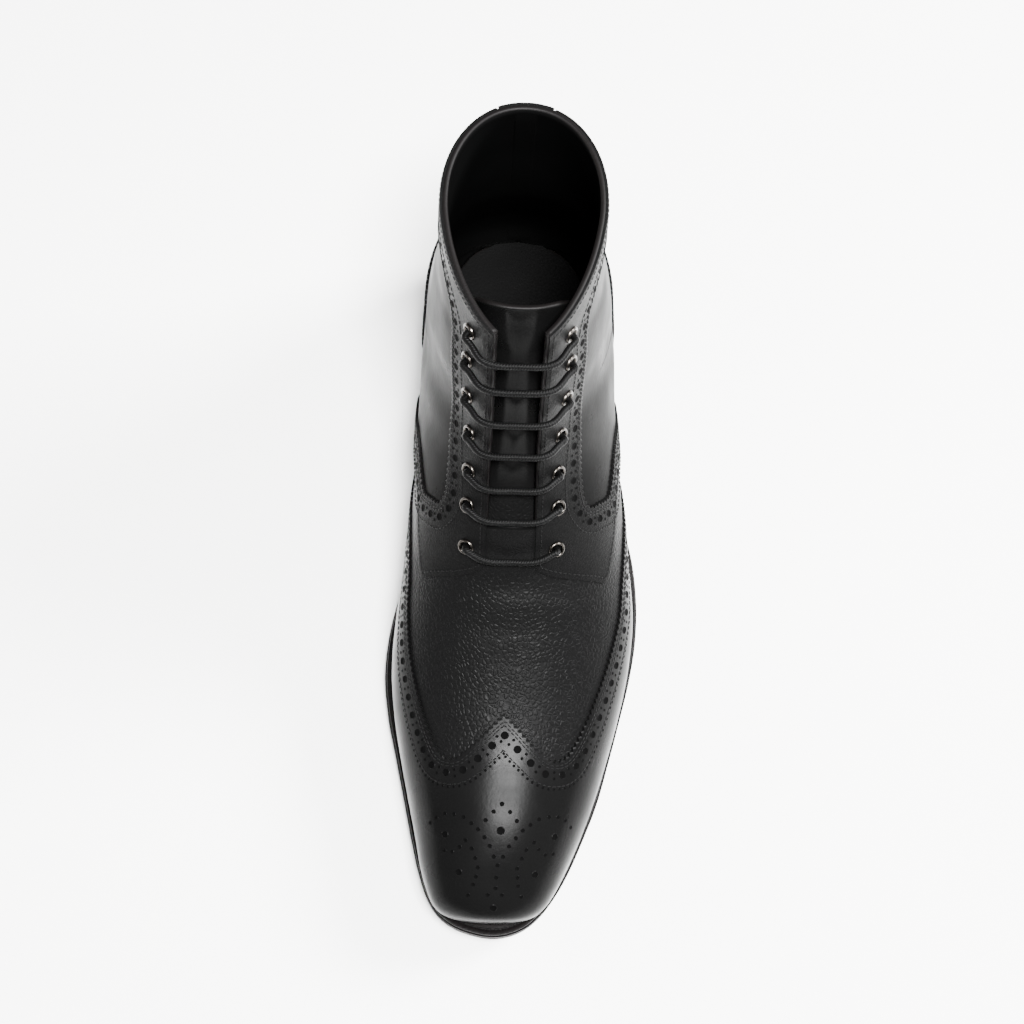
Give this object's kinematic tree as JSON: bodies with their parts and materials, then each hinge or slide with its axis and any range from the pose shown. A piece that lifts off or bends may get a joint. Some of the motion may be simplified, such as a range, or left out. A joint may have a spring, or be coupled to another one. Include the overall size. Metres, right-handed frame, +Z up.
{
  "type": "wingtip boot",
  "caption": "Left ankle boot in black leather with a wing cap, counter, laced facings over a tongue, a welted sole, a stacked heel and a studded rubber tread.",
  "frame": {"origin": "middle of the bounding box at floor level", "axes": "toe towards -Y, heel towards +Y, outer side of the left foot towards +X, +Z up"},
  "size_m": [0.1045, 0.3, 0.1854],
  "materials": {
    "smooth_leather": "semi-gloss black",
    "grain_leather": "pebbled black, semi-gloss",
    "lining_leather": "matt black",
    "edge_leather": "inked and waxed black",
    "tread_rubber": "matt black",
    "eyelet_metal": "dark nickel",
    "lace_cord": "waxed black"
  },
  "bodies": {
    "root": {"outsole": "tread_rubber", "midsole": "edge_leather", "welt": "edge_leather", "heel_base": "edge_leather", "top_lift": "tread_rubber", "insole": "lining_leather", "upper": "smooth_leather", "wing_cap": "smooth_leather", "counter": "grain_leather", "facing_inner": "grain_leather", "facing_outer": "grain_leather", "back_strip": "smooth_leather", "tongue": "smooth_leather", "eyelet_inner_1": "eyelet_metal", "eyelet_inner_2": "eyelet_metal", "eyelet_inner_3": "eyelet_metal", "eyelet_inner_4": "eyelet_metal", "eyelet_inner_5": "eyelet_metal", "eyelet_inner_6": "eyelet_metal", "eyelet_inner_7": "eyelet_metal", "eyelet_outer_1": "eyelet_metal", "eyelet_outer_2": "eyelet_metal", "eyelet_outer_3": "eyelet_metal", "eyelet_outer_4": "eyelet_metal", "eyelet_outer_5": "eyelet_metal", "eyelet_outer_6": "eyelet_metal", "eyelet_outer_7": "eyelet_metal", "lace_bar_1": "lace_cord", "lace_bar_2": "lace_cord", "lace_bar_3": "lace_cord", "lace_bar_4": "lace_cord", "lace_bar_5": "lace_cord", "lace_bar_6": "lace_cord", "lace_bar_7": "lace_cord"}
  },
  "joints": []
}
